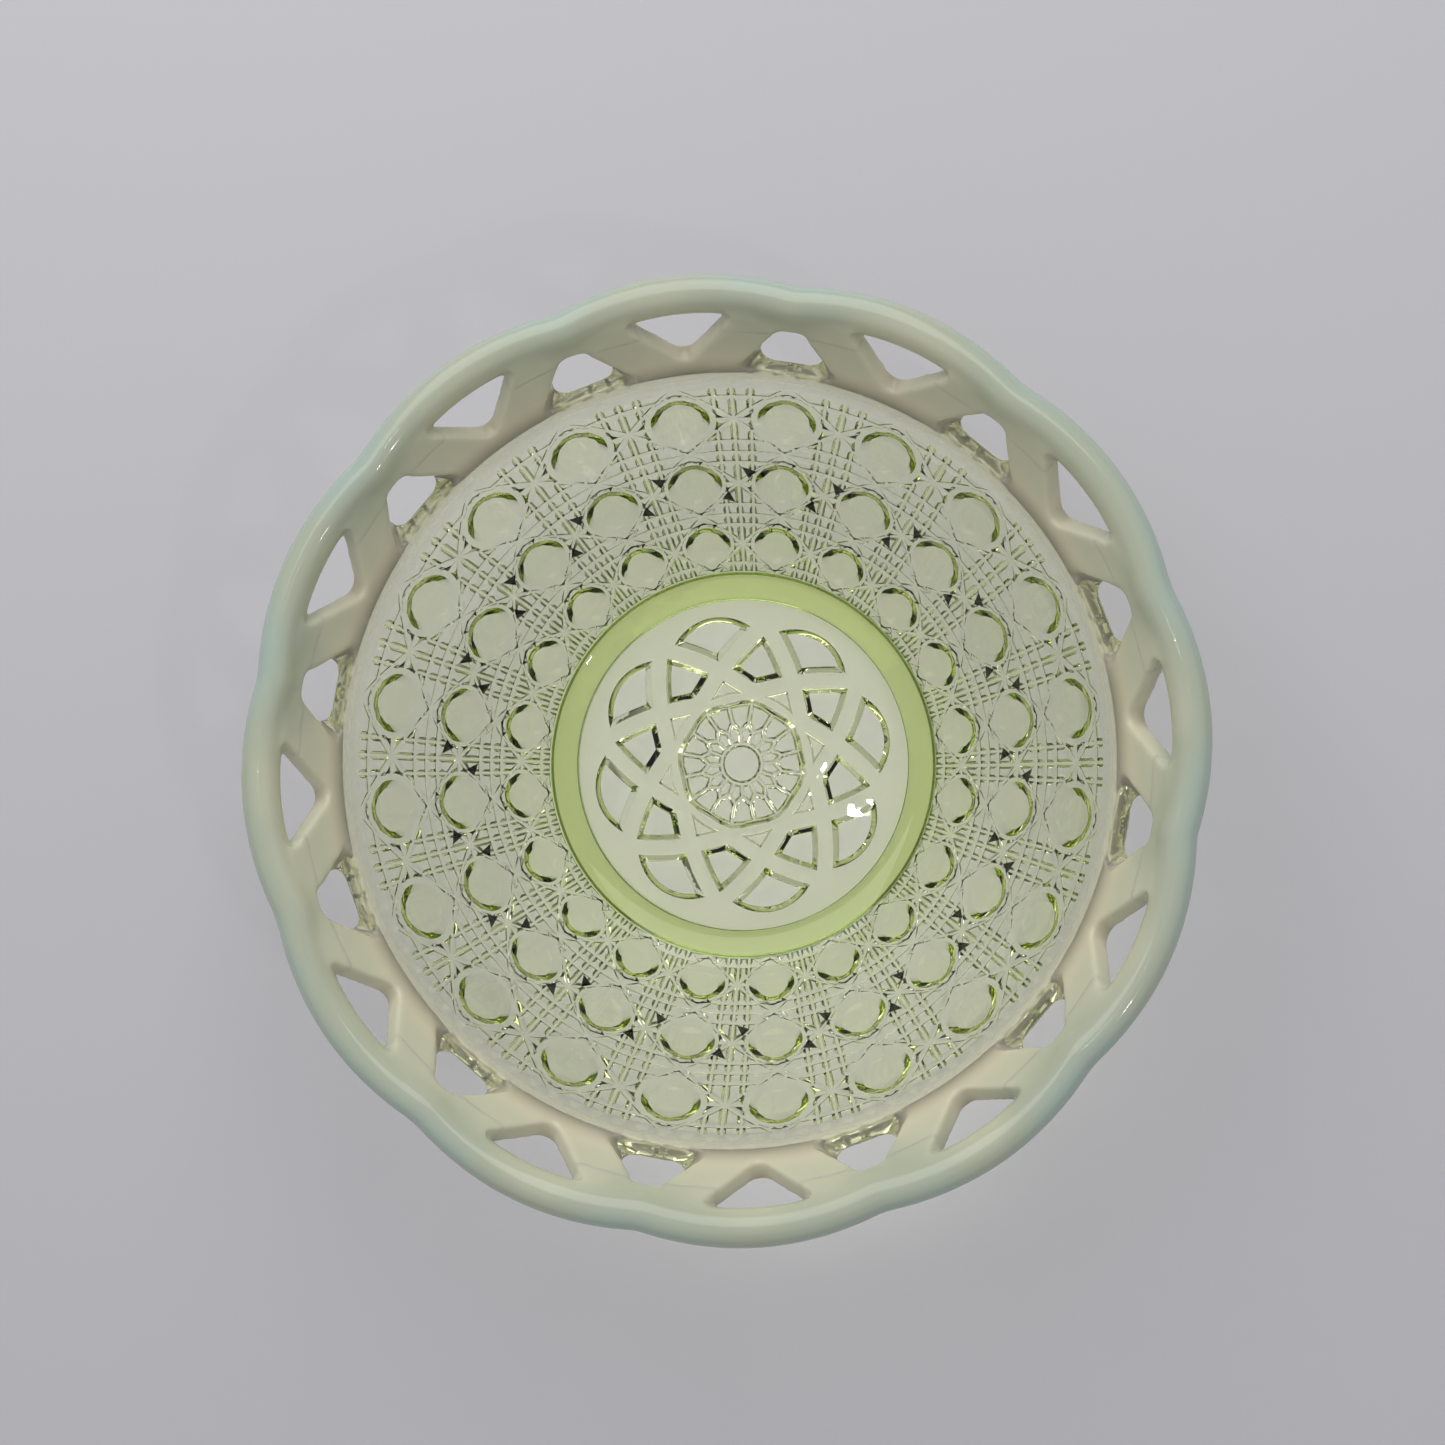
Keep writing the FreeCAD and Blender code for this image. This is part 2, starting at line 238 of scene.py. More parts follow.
def make_opal(name, fade):
    """Milky glass: blue-green outside and at the pinches, cream inside. It can fade to clear lower down; where
    that fade reaches into the clear collar, its milkiness is painted sheen in place of the collar's
    reflections.
    """
    material, nodes, links, shader, output = shader_nodes(name)
    coords = nodes.new("ShaderNodeTexCoord")
    split = nodes.new("ShaderNodeSeparateXYZ")
    links.new(coords.outputs["Object"], split.inputs["Vector"])
    x, y, z = (split.outputs[axis] for axis in "XYZ")
    x_squared = calc(nodes, links, "MULTIPLY", x, x)
    y_squared = calc(nodes, links, "MULTIPLY", y, y)
    radius = calc(nodes, links, "SQRT", calc(nodes, links, "ADD", x_squared, y_squared))
    turn = calc(nodes, links, "ARCTAN2", y, x)
    wave = calc(nodes, links, "COSINE", calc(nodes, links, "MULTIPLY", turn, float(SCALLOPS)))
    cloud = nodes.new("ShaderNodeTexNoise")
    cloud.inputs["Scale"].default_value = CLOUD_SCALE
    cloud.inputs["Detail"].default_value = 1.5
    links.new(coords.outputs["Object"], cloud.inputs["Vector"])
    uneven = calc(nodes, links, "SUBTRACT", cloud.outputs["Fac"], 0.5)
    drift = calc(nodes, links, "MULTIPLY", uneven, CLOUD_REACH)
    pinch = calc(nodes, links, "MULTIPLY", wave, PINCH_REACH)
    reach = calc(nodes, links, "ADD", calc(nodes, links, "ADD", radius, drift), pinch)
    inside = blended(nodes, links, graded(nodes, links, reach, *CREAM_TO_SAGE), CREAM, SAGE)
    colour = blended(nodes, links, graded(nodes, links, reach, *SAGE_TO_BLUE), inside, BLUE_GREEN)
    shader.inputs["Subsurface Weight"].default_value = 0.4
    shader.inputs["Subsurface Radius"].default_value = (1.0, 1.0, 0.8)
    shader.inputs["Subsurface Scale"].default_value = 0.0015
    shader.inputs["Roughness"].default_value = 0.05
    shader.inputs["IOR"].default_value = CLEAR_IOR
    if fade:
        # Opal share by height: on the clear collar it is painted sheen, on the bars it is real opal.
        height = graded(nodes, links, z, *CLEAR_TO_OPAL_AND_COLLAR_SHEEN)
        colour = blended(nodes, links, graded(nodes, links, z, *PEACH_TO_CREAM), PEACH, colour)
        clear = nodes.new("ShaderNodeBsdfPrincipled")
        set_clear(nodes, links, clear)
        mix = nodes.new("ShaderNodeMixShader")
        links.new(height, mix.inputs["Fac"])
        links.new(clear.outputs["BSDF"], mix.inputs[1])
        links.new(shader.outputs["BSDF"], mix.inputs[2])
        links.new(mix.outputs["Shader"], output.inputs["Surface"])
        add_tint(nodes, links, output)
    links.new(colour, shader.inputs["Base Color"])
    return material


CLEAR = make_clear("clear_glass_finish")
FOOT_GLASS = make_clear("foot_glass_finish", colour=FOOT_TINT, density=FOOT_DENSITY)
OPAL_RIM = make_opal("opal_glass_finish", False)
OPAL_BARS_AND_COLLAR_SHEEN = make_opal("opal_bars_and_collar_sheen_finish", True)


# ---------------------------------------------------------------- making helpers

def deselect():
    """Leaves edit mode, with nothing selected."""
    if bpy.context.object and bpy.context.object.mode == "EDIT":
        bpy.ops.object.mode_set(mode="OBJECT")
    bpy.ops.object.select_all(action="DESELECT")


def only(piece):
    """Makes a piece the one selected and active object."""
    deselect()
    piece.select_set(True)
    bpy.context.view_layer.objects.active = piece


def piece_from(name, bm, material=CLEAR):
    """An object at the origin from a finished mesh. Its faces in slot 1 become joints, in slot 0."""
    mesh = bpy.data.meshes.new(name)
    bm.to_mesh(mesh)
    bm.free()
    joints = [float(face.material_index) for face in mesh.polygons]
    mesh.attributes.new("joint", "FLOAT", "FACE").data.foreach_set("value", joints)
    mesh.polygons.foreach_set("material_index", [0] * len(joints))
    piece = bpy.data.objects.new(name, mesh)
    bpy.context.collection.objects.link(piece)
    mesh.materials.append(material)
    return piece


def draw_back_joints(piece):
    """Draws joint faces back by a hair, so that neighbours never share a surface."""
    moves = {}
    marks = piece.data.attributes["joint"].data
    for face in piece.data.polygons:
        if marks[face.index].value:
            for index in face.vertices:
                moves[index] = moves.get(index, Vector()) + face.normal
    for index, total in moves.items():
        piece.data.vertices[index].co -= total.normalized() * JOINT_GAP


def finish_piece(piece, node, slot, angle=30):
    """Smooth shading with crisp edges, and its place in the frame."""
    draw_back_joints(piece)
    only(piece)
    bpy.ops.object.shade_smooth_by_angle(angle=math.radians(angle))
    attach(piece, "root")
    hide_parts(node)
    if slot == "clear_glass":
        piece.visible_shadow = False


def ring_of(bm, radius, z, azimuths):
    """A level ring of vertices, one at each azimuth."""
    return [bm.verts.new(polar(radius, azimuth, z)) for azimuth in azimuths]


def skin(bm, low, high, joint=0):
    """Faces between two rings with the same count. With joint 1 they are joint faces."""
    count = len(low)
    for i in range(count):
        j = (i + 1) % count
        face = bm.faces.new((low[i], low[j], high[j], high[i]))
        face.material_index = joint


def lathe(name, outline, joints, steps=180, material=CLEAR):
    """A closed ring from the outline of its section. joints lists the outline's edges that meet a neighbour."""
    bm = bmesh.new()
    azimuths = [TURN * i / steps for i in range(steps)]
    rings = [ring_of(bm, radius, z, azimuths) for radius, z in outline]
    for i in range(len(rings)):
        skin(bm, rings[i], rings[(i + 1) % len(rings)], 1 if i in joints else 0)
    face_outwards(bm)
    return piece_from(name, bm, material)


def arc_between(centre, radius, start, end, steps):
    """Points round an arc, ends included, angles in degrees."""
    points = []
    for i in range(steps + 1):
        angle = math.radians(start + (end - start) * i / steps)
        points.append((centre[0] + radius * math.cos(angle), centre[1] + radius * math.sin(angle)))
    return points


# ---------------------------------------------------------------- foot ring

FOOT_ROUND = 1.2 * MM


def make_foot():
    """The ring that the dish stands on, its two lower edges rounded."""
    outline = [(FLOOR_RADIUS, FOOT_TOP)]
    outline += arc_between((FLOOR_RADIUS + FOOT_ROUND, FOOT_ROUND), FOOT_ROUND, 180, 270, 6)
    outline += arc_between((FOOT_RADIUS - FOOT_ROUND, FOOT_ROUND), FOOT_ROUND, 270, 360, 6)
    outline += [(FOOT_RADIUS, FOOT_TOP)]
    piece = lathe("foot_ring_glass", outline, {len(outline) - 1}, material=FOOT_GLASS)
    finish_piece(piece, "foot_ring", "clear_glass")


# ---------------------------------------------------------------- floor with its medallion

STRAP_HALF = 1.7 * MM
STRAP_RADII = (33.2 * MM, 22.5 * MM, 17.4 * MM)     # of a strap's middle line, each 22.5 degrees on
ARC_RADIUS = 35.5 * MM
ARC_DROP = 2.35 * MM           # from the middle of a scallop to 15 degrees beside it
FOLD = 8
EIGHTH = math.pi / FOLD        # an eighth of a half turn
SMALL_INNER = 16.7 * MM
PANEL_SPOTS = 8
EDGE_SPOTS = 96
# Rings of the recesses: how far in from the rim and how far up
PANEL_RINGS = ((0.0, 0.0), (0.12 * MM, 0.08 * MM), (1.35 * MM, 2.05 * MM), (1.50 * MM, 2.15 * MM))
SMALL_RINGS = ((0.0, 0.0), (0.45 * MM, 0.45 * MM))
ROSETTE_RADIUS = 15.1 * MM
ROSETTE_LOBE = 0.35 * MM
ROSETTE_RINGS = ((0.0, 0.0), (0.10 * MM, 0.08 * MM), (0.95 * MM, 1.00 * MM))
PETAL_RADII = ((9.7 * MM, 7.7 * MM), (4.8 * MM, 4.8 * MM))      # at even and at odd spots
ROSETTE_SPOTS = 32
MITRE = 2.6                    # the most that a sharp corner moves, as a share of the inset
# Steps of the insets: how far inwards and how far down
PETAL_STEPS = ((0.22 * MM, 0.0), (0.45 * MM, 0.60 * MM))
DISC_STEPS = ((0.30 * MM, 0.0), (0.50 * MM, 0.60 * MM))


def strap_radius(turn):
    """Radius of a strap's middle line at an angle from its star point."""
    outer, middle, inner = STRAP_RADII
    share = turn / EIGHTH
    return outer + share * (middle - outer) + share * (share - 1) / 2 * (inner - 2 * middle + outer)


def strap_edge(turn, away):
    """Radius of a line beside a strap's middle line, outwards if away is positive."""
    step = 0.01
    slope = (strap_radius(turn + step) - strap_radius(turn - step)) / (2 * step)
    return strap_radius(turn) + away * math.hypot(1, slope / strap_radius(turn))


def kite_limits(turn, inset):
    """Inner and outer radius of a kite between two straps, at an angle from its axis."""
    away = STRAP_HALF + inset
    return strap_edge(2 * EIGHTH - turn, away), strap_edge(turn, -away)


def scallop_limits(turn, inset):
    """Inner and outer radius of a scallop between the straps and the medallion's edge."""
    arc = ARC_RADIUS - ARC_DROP * (math.degrees(turn) / 15) ** 2 - inset
    return strap_edge(EIGHTH - turn, STRAP_HALF + inset), arc


def small_limits(turn, inset):
    """Inner and outer radius of a small panel between the rosette and a strap."""
    return SMALL_INNER + inset, strap_edge(EIGHTH + turn, -STRAP_HALF - inset)


def panel_ring(limits, axis, inset):
    """Outline of a panel as (radius, azimuth), drawn in by an inset. It is even about its axis."""
    low, high = 0.0, EIGHTH
    for _ in range(30):
        middle = (low + high) / 2
        inner, outer = limits(middle, inset)
        if outer > inner:
            low = middle
        else:
            high = middle
    turns = [low * i / PANEL_SPOTS for i in range(-PANEL_SPOTS, PANEL_SPOTS + 1)]
    outer_side = [(limits(abs(turn), inset)[1], axis + turn) for turn in turns]
    inner_side = [(limits(abs(turn), inset)[0], axis + turn) for turn in turns[::-1][1:-1]]
    return outer_side + inner_side


def rosette_ring(inset):
    """The rosette's lobed outline."""
    turns = [TURN * i / ROSETTE_SPOTS for i in range(ROSETTE_SPOTS)]
    return [(ROSETTE_RADIUS - inset + ROSETTE_LOBE * math.cos(FOLD * turn), turn) for turn in turns]


def inset_down(bm, faces, steps):
    """Insets each face on its own by steps of (inwards, downwards), with a limit on its sharp corners."""
    for inwards, downwards in steps:
        starts = {face: ([vert.co.copy() for vert in face.verts], face.normal.copy()) for face in faces}
        bmesh.ops.inset_individual(bm, faces=faces, thickness=inwards, depth=-downwards, use_even_offset=True)
        for face, (places, normal) in starts.items():
            for vert, place in zip(face.verts, places):
                move = vert.co - place
                across = move - normal * move.dot(normal)
                if across.length > MITRE * inwards:
                    vert.co = place + across * (MITRE * inwards / across.length) - normal * downwards


def face_outwards(bm):
    """Makes a closed mesh's normals agree and point outwards."""
    bmesh.ops.recalc_face_normals(bm, faces=bm.faces)
    if bm.calc_volume(signed=True) < 0:
        bmesh.ops.reverse_faces(bm, faces=bm.faces)


def press_in(bm, outline_at, rings):
    """Rings of a recess from its rim inwards and up. Returns the rim's edges and the last ring."""
    last = None
    rim_edges = []
    for inset, rise in rings:
        z = FOOT_TOP + rise
        ring = [bm.verts.new(polar(radius, azimuth, z)) for radius, azimuth in outline_at(inset)]
        if last:
            skin(bm, last, ring)
        else:
            rim_edges = [bm.edges.new((a, b)) for a, b in zip(ring, ring[1:] + ring[:1])]
        last = ring
    return rim_edges, last


def make_rosette_petals(bm, rim):
    """Two rows of petals and a plain middle inside the rosette's rim."""
    z = rim[0].co.z
    outer, inner = [[bm.verts.new(polar(odd if i % 2 else even, TURN * i / ROSETTE_SPOTS, z))
                     for i in range(ROSETTE_SPOTS)] for even, odd in PETAL_RADII]
    petals = []
    for i in range(0, ROSETTE_SPOTS, 2):
        j, k = (i + 1) % ROSETTE_SPOTS, (i + 2) % ROSETTE_SPOTS
        petals.append(bm.faces.new([rim[i], rim[j], rim[k], outer[k], outer[j], outer[i]]))
        petals.append(bm.faces.new([outer[i - 1], outer[i], outer[j], inner[j], inner[i], inner[i - 1]]))
    return petals, bm.faces.new(inner)


def make_floor():
    """The disc: panels are pressed up into its underside between the straps, and its top is smooth."""
    bm = bmesh.new()
    azimuths = [TURN * i / EDGE_SPOTS for i in range(EDGE_SPOTS)]
    edge = ring_of(bm, FLOOR_RADIUS, FOOT_TOP, azimuths)
    land = [bm.edges.new((a, b)) for a, b in zip(edge, edge[1:] + edge[:1])]
    for k in range(FOLD):
        for limits, axis, rings in ((kite_limits, 2 * k * EIGHTH, PANEL_RINGS),
                                    (scallop_limits, (2 * k + 1) * EIGHTH, PANEL_RINGS),
                                    (small_limits, (2 * k + 1) * EIGHTH, SMALL_RINGS)):
            rim, last = press_in(bm, lambda inset: panel_ring(limits, axis, inset), rings)
            land += rim
            bm.faces.new(last)
    rim, last = press_in(bm, rosette_ring, ROSETTE_RINGS)
    land += rim
    petals, disc = make_rosette_petals(bm, last)
    bmesh.ops.triangle_fill(bm, edges=land, use_beauty=True, normal=(0, 0, -1))
    top = ring_of(bm, FLOOR_RADIUS, FLOOR_TOP, azimuths)
    skin(bm, edge, top, 1)
    bm.faces.new(top)
    face_outwards(bm)
    inset_down(bm, petals, PETAL_STEPS)
    inset_down(bm, [disc], DISC_STEPS)
    piece = piece_from("base_floor_glass", bm)
    finish_piece(piece, "base_floor", "clear_glass")


# ---------------------------------------------------------------- patterned wall

CANE = 1 / 6                   # width of the cane strips, as a share of a cell
RIDGE_HALF = 0.34 * MM
PIT_STEPS = ((0.10 * MM, 0.10 * MM), (0.52 * MM, 0.70 * MM))
PIT_ROOM = 1.1 * MM            # a face with less room than this has a smaller pit
BUTTON_MARGINS = (0.60 * MM, 0.60 * MM, 1.10 * MM)      # in each row
BUTTON_STEPS = ((0.15 * MM, -0.10 * MM), (1.50 * MM, -1.20 * MM), (0.30 * MM, -0.10 * MM))
ARC_STEPS = 6
CUSP = math.radians(25)        # how far round from the nearest spot the pits beside a button begin
ON_LINE = 1e-7
CELL_WELD = 0.04 * MM
ROW_WELD = 0.02 * MM
NEAR_MIDDLE = 0.01 * MM
HEEL_ROUND = 9.0 * MM
HEEL_STEPS = 8


def flat_cell(pitch, length, margin):
    """One repeat of the pattern, flat: a round button in a diamond, with cane corners, pits pressed in."""
    bm = bmesh.new()
    a, b = pitch / 2, length / 2
    reach = a * b / math.hypot(a, b)
    lean = math.atan2(a, b)

    def at(x, y):
        return bm.verts.new((x, y, 0))

    right, left, top, bottom = at(a, 0), at(-a, 0), at(0, b), at(0, -b)
    corners = [at(a, b), at(-a, b), at(-a, -b), at(a, -b)]

    def arc(first, last):
        angles = [first + (last - first) * i / ARC_STEPS for i in range(ARC_STEPS + 1)]
        return [at(reach * math.cos(angle), reach * math.sin(angle)) for angle in angles]

    def beside(spot, towards):
        """A point on the diamond's side, where the gap to the button is wide enough for a pit."""
        along = (towards.co - spot.co).normalized()
        return at(*(spot.co + along * reach * math.sin(CUSP)).xy)

    touch = [at(reach * math.cos(t), reach * math.sin(t))
             for t in (lean, math.pi - lean, math.pi + lean, -lean)]
    upper = arc(lean + CUSP, math.pi - lean - CUSP)
    west = arc(math.pi - lean + CUSP, math.pi + lean - CUSP)
    lower = arc(math.pi + lean + CUSP, TURN - lean - CUSP)
    east = arc(-lean + CUSP, lean - CUSP)
    middle = ARC_STEPS // 2
    arcs = [east, upper, west, lower]
    tips = [right, top, left, bottom]
    cusp_faces, side_points = [], []
    button = []
    for i in range(4):
        button += arcs[i] + [touch[i]]
    bm.faces.new(button)
    for i in range(4):
        first, last = beside(touch[i], tips[i]), beside(touch[i], tips[(i + 1) % 4])
        side_points.append((first, last))
        cusp_faces.append(bm.faces.new([touch[i], arcs[i][-1], first]))
        cusp_faces.append(bm.faces.new([touch[i], last, arcs[(i + 1) % 4][0]]))
    bm.faces.new([top, side_points[1][0]] + upper[::-1] + [side_points[0][1]])
    bm.faces.new([bottom, side_points[3][0]] + lower[::-1] + [side_points[2][1]])
    bm.faces.new([right, side_points[0][0]] + east[middle:][::-1])
    bm.faces.new([right] + east[:middle + 1][::-1] + [side_points[3][1]])
    bm.faces.new([left, side_points[2][0]] + west[middle:][::-1])
    bm.faces.new([left] + west[:middle + 1][::-1] + [side_points[1][1]])
    for i in range(4):
        bm.faces.new([tips[i], corners[i], tips[(i + 1) % 4], side_points[i][1], touch[i], side_points[i][0]])
    for axis, reach_out in (((1, 0, 0), a - pitch * CANE), ((-1, 0, 0), a - pitch * CANE),
                            ((0, 1, 0), b - length * CANE), ((0, -1, 0), b - length * CANE)):
        normal = Vector(axis)
        canes = [face for face in bm.faces if abs(face.calc_center_median().x) / a
                 + abs(face.calc_center_median().y) / b > 1.0]
        parts = canes + list({edge for face in canes for edge in face.edges}) \
            + list({vert for face in canes for vert in face.verts})
        bmesh.ops.bisect_plane(bm, geom=parts, plane_co=normal * reach_out, plane_no=normal,
                               dist=ON_LINE)
    bmesh.ops.remove_doubles(bm, verts=bm.verts, dist=CELL_WELD)
    bm.normal_update()
    buttons = [face for face in bm.faces if face.calc_center_median().length < NEAR_MIDDLE]
    pits = [face for face in bm.faces if face not in buttons and len(face.verts) > 3
            or abs(face.calc_center_median().x) * b + abs(face.calc_center_median().y) * a > a * b]
    inset_down(bm, buttons, ((margin, 0.0),) + BUTTON_STEPS)
    for pit in pits:
        share = min(1.0, 2 * pit.calc_area() / pit.calc_perimeter() / PIT_ROOM)
        inset_down(bm, [pit], [(inwards * share, downwards * share)
                               for inwards, downwards in ((RIDGE_HALF, 0.0),) + PIT_STEPS])
    edge_lines = [edge for edge in bm.edges if edge.is_boundary
                  and all(abs(abs(vert.co.y) - b) < ON_LINE for vert in edge.verts)]
    bmesh.ops.subdivide_edges(bm, edges=edge_lines, cuts=1)
    return bm


def wrapped_row(row):
    """The row's cells set round the wall, as one open skin, with its lower and upper edges."""
    start, end = ROW_LIMITS[row], ROW_LIMITS[row + 1]
    middle = (start + end) / 2
    pitch = TURN * curve_point(middle)[0] / COLUMNS
    cell = flat_cell(pitch, end - start, BUTTON_MARGINS[row])
    mesh = bpy.data.meshes.new("cell")
    cell.to_mesh(mesh)
    cell.free()
    bm = bmesh.new()
    for column in range(COLUMNS):
        before = len(bm.verts)
        bm.from_mesh(mesh)
        bm.verts.ensure_lookup_table()
        for vert in bm.verts[before:]:
            azimuth = (column + vert.co.x / pitch) * TURN / COLUMNS
            radius, z = curve_point(middle + vert.co.y, vert.co.z)
            vert.co = polar(radius, azimuth, z)
    bpy.data.meshes.remove(mesh)
    bmesh.ops.remove_doubles(bm, verts=bm.verts, dist=ROW_WELD)
    rims = {vert for edge in bm.edges if edge.is_boundary for vert in edge.verts}
    z_middle = (curve_point(start)[1] + curve_point(end)[1]) / 2

    def sorted_ring(keep):
        return sorted((v for v in rims if keep(v.co.z)), key=lambda v: math.atan2(v.co.y, v.co.x) % TURN)

    return bm, sorted_ring(lambda z: z < z_middle), sorted_ring(lambda z: z >= z_middle)


def close_inside(bm, low_ring, high_ring, outline, joints):
    """Closes a skin by rings along an outline, from its lower edge round the inside to its upper edge."""
    azimuths = [math.atan2(v.co.y, v.co.x) for v in low_ring]
    rings = [low_ring] + [ring_of(bm, radius, z, azimuths) for radius, z in outline] + [high_ring]
    for i in range(len(rings) - 1):
        skin(bm, rings[i], rings[i + 1], 1 if i in joints else 0)
    face_outwards(bm)


def inner_outline(start, end, steps):
    """Points of the smooth inner wall between two lengths of the outer curve."""
    return [curve_point(start + (end - start) * i / steps, -WALL) for i in range(steps + 1)]


def heel_outline(end):
    """From the foot's outer edge in to the floor, up through it, and out along the inside of the heel."""
    slope_length = curve_length(curve_radius_at(FLOOR_TOP), FLOOR_TOP) + HEEL_ROUND
    start_radius, start_z = curve_point(slope_length, -WALL)
    next_radius, next_z = curve_point(slope_length + MM, -WALL)
    slope = (next_z - start_z) / (next_radius - start_radius)
    foot_of_slope = start_radius - (start_z - FLOOR_TOP) / slope
    points = [(FLOOR_RADIUS, FOOT_TOP), (FLOOR_RADIUS, FLOOR_TOP)]
    for i in range(1, HEEL_STEPS + 1):
        t = i / HEEL_STEPS
        w0, w1, w2 = (1 - t) ** 2, 2 * t * (1 - t), t * t
        points.append((w0 * FLOOR_RADIUS + w1 * foot_of_slope + w2 * start_radius,
                       w0 * FLOOR_TOP + w1 * FLOOR_TOP + w2 * start_z))
    return points + inner_outline(slope_length, end, 4)[1:]


def make_wall():
    """The three rows of buttons, the lowest with the heel."""
    for row, node in enumerate(ROW_NODES):
        bm, low_ring, high_ring = wrapped_row(row)
        if row == 0:
            outline = heel_outline(ROW_LIMITS[1])
            joints = {0, 1, len(outline)}
        else:
            outline = inner_outline(ROW_LIMITS[row], ROW_LIMITS[row + 1], 8)
            joints = {0, len(outline)}
        close_inside(bm, low_ring, high_ring, outline, joints)
        piece = piece_from(node + "_glass", bm)
        finish_piece(piece, node, "clear_glass")


# ---------------------------------------------------------------- bead band and collar

BEAD_PROUD = 0.40 * MM
BEAD_SHARE = 0.97              # of the room that a bead fills
BEAD_STEPS = 12
BAND_STEPS = 10


def make_bead_band():
    """A row of low round beads outside, plain inside."""
    bm = bmesh.new()
    count = BEADS * BEAD_STEPS
    azimuths = [TURN * i / count for i in range(count)]
    start, end = ROW_LIMITS[3], BAND_TOP_LENGTH
    middle = (start + end) / 2
    pitch = TURN * curve_point(middle)[0] / BEADS
    bead = min(pitch, end - start) / 2 * BEAD_SHARE
    rings = []
    for j in range(BAND_STEPS + 1):
        length = start + (end - start) * j / BAND_STEPS
        ring = []
        for i, azimuth in enumerate(azimuths):
            across = ((i + BEAD_STEPS / 2) % BEAD_STEPS - BEAD_STEPS / 2) / BEAD_STEPS * pitch
            away = math.hypot(across, length - middle) / bead
            proud = BEAD_PROUD * max(0.0, 1 - away * away)
            radius, z = curve_point(length, proud if 0 < j < BAND_STEPS else 0.0)
            ring.append(bm.verts.new(polar(radius, azimuth, z)))
        rings.append(ring)
    for low, high in zip(rings, rings[1:]):
        skin(bm, low, high)
    outline = inner_outline(start, curve_length(inner_radius_at(COLLAR_BOTTOM), COLLAR_BOTTOM), 4)
    close_inside(bm, rings[0], rings[-1], outline, {0, len(outline)})
    piece = piece_from("bead_band_glass", bm)
    finish_piece(piece, "bead_band", "clear_glass", 50)


# ---------------------------------------------------------------- collar, lattice and rim

LATTICE_RISE = RIM_MIDDLE_Z - COLLAR_TOP
LATTICE_SLANT = math.hypot(LATTICE_FLARE, LATTICE_RISE)
FOOTPRINT = LATTICE_THICKNESS * LATTICE_SLANT / LATTICE_RISE
LATTICE_FOOT = CROWN_RADIUS - RIM_WIDTH / 2 - SCALLOP_RISE - LATTICE_FLARE
# Corners of the gaps: across, up the slope, corner radius. Inside face first, then outside face.
SMALL_GAP = (((10.8, -1.2, 0.6), (2.6, 11.4, 2.3), (-2.6, 11.4, 2.3), (-10.8, -1.2, 0.6)),
             ((7.4, -1.2, 3.0), (3.0, 11.4, 2.6), (-3.0, 11.4, 2.6), (-7.4, -1.2, 3.0)))
LARGE_GAP = (((15.3, 18.5, 0.6), (-15.3, 18.5, 0.6), (0.0, 1.5, 2.2)),
             ((15.3, 18.5, 0.6), (-15.3, 18.5, 0.6), (0.0, 1.7, 2.8)))
CUTTER_STRETCH = 1.6           # how far a cutter reaches past the band, as a share of its thickness
BAND_START = COLLAR_BOTTOM - 1.5 * MM
BAND_END_PROUD = 0.3 * MM
BAND_END_RISE = 1.2 * MM
VOXEL = 0.52 * MM
SMOOTHING_ROUNDS = 30
SMOOTHING_LOSS = 0.2 * MM
SPLIT_Z = RIM_LOW + 0.85 * MM
CUT_SNAP = 0.01 * MM


def rounded_outline(corners, steps=6):
    """Points of a polygon whose corners (x, y, radius) are rounded, in millimetres."""
    points = []
    count = len(corners)
    for i in range(count):
        x, y, radius = corners[i]
        here = Vector((x, y))
        before = (Vector(corners[i - 1][:2]) - here).normalized()
        after = (Vector(corners[(i + 1) % count][:2]) - here).normalized()
        half_angle = before.angle(after) / 2
        back = radius / math.tan(half_angle)
        centre = here + (before + after).normalized() * (radius / math.sin(half_angle))
        first = here + before * back - centre
        last = here + after * back - centre
        sweep = first.angle_signed(last)
        for step in range(steps + 1):
            turn = -sweep * step / steps
            points.append(centre + Matrix.Rotation(turn, 2) @ first)
    return points


def gap_cutters():
    """All gaps of the lattice as one mesh, each lofted from its outline inside to its outline outside."""
    bm = bmesh.new()
    up = Vector((LATTICE_FLARE, 0, LATTICE_RISE)).normalized()
    side = Vector((0, 1, 0))
    out = side.cross(up)
    half = CUTTER_STRETCH * LATTICE_THICKNESS / 2
    for turn in range(SCALLOPS):
        for offset, (inside, outside) in ((0.0, SMALL_GAP), (0.5, LARGE_GAP)):
            spin = Matrix.Rotation((turn + offset) * TURN / SCALLOPS, 3, "Z")
            base = Vector((LATTICE_FOOT, 0, COLLAR_TOP))
            near, far = [], []
            for p, q in zip(rounded_outline(inside), rounded_outline(outside)):
                middle = (p + q) / 2
                reach = (q - p) / 2 * CUTTER_STRETCH
                for ends, sign in ((near, -1), (far, 1)):
                    spot = middle + reach * sign
                    place = base + side * spot.x * MM + up * spot.y * MM
                    ends.append(bm.verts.new(spin @ (place + out * sign * half)))
            bm.faces.new(near)
            bm.faces.new(far[::-1])
            skin(bm, near, far)
    face_outwards(bm)
    return piece_from("gap_cutters", bm)


def scallop_radius(azimuth):
    """How far the rim's middle line stands out at an azimuth: crowns between pinches."""
    phase = (azimuth * SCALLOPS / TURN) % 1.0
    swell = math.sin(math.pi * phase) ** 0.9
    return CROWN_RADIUS - RIM_WIDTH / 2 - SCALLOP_RISE * (1 - swell)


